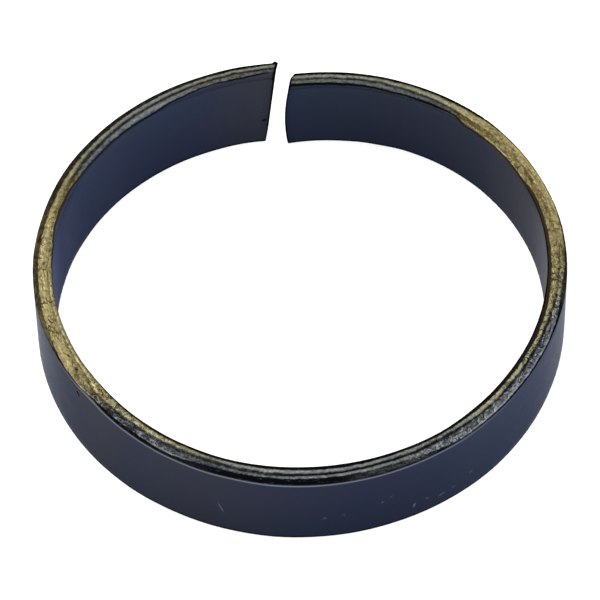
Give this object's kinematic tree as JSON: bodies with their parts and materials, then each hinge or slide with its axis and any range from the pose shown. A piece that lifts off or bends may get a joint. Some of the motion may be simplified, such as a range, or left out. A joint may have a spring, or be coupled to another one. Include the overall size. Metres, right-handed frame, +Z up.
{
  "type": "open band ring",
  "caption": "Plain open band ring bent from flat metal strip, with slanted ends that almost meet at a narrow split, worn rims and a round opening for a finger.",
  "frame": {"origin": "middle of the ring's outline, at the height of its lower rim", "axes": "+Z up through the opening, -Y towards the front, +Y towards the split at the back, +X to the right"},
  "size_m": [0.0218, 0.021, 0.004],
  "materials": {
    "blackened_brass": "satin blue-black coat on both walls, rubbed and pitted down to dull brass on the rims"
  },
  "bodies": {
    "root": {"band": "blackened_brass"}
  },
  "joints": []
}
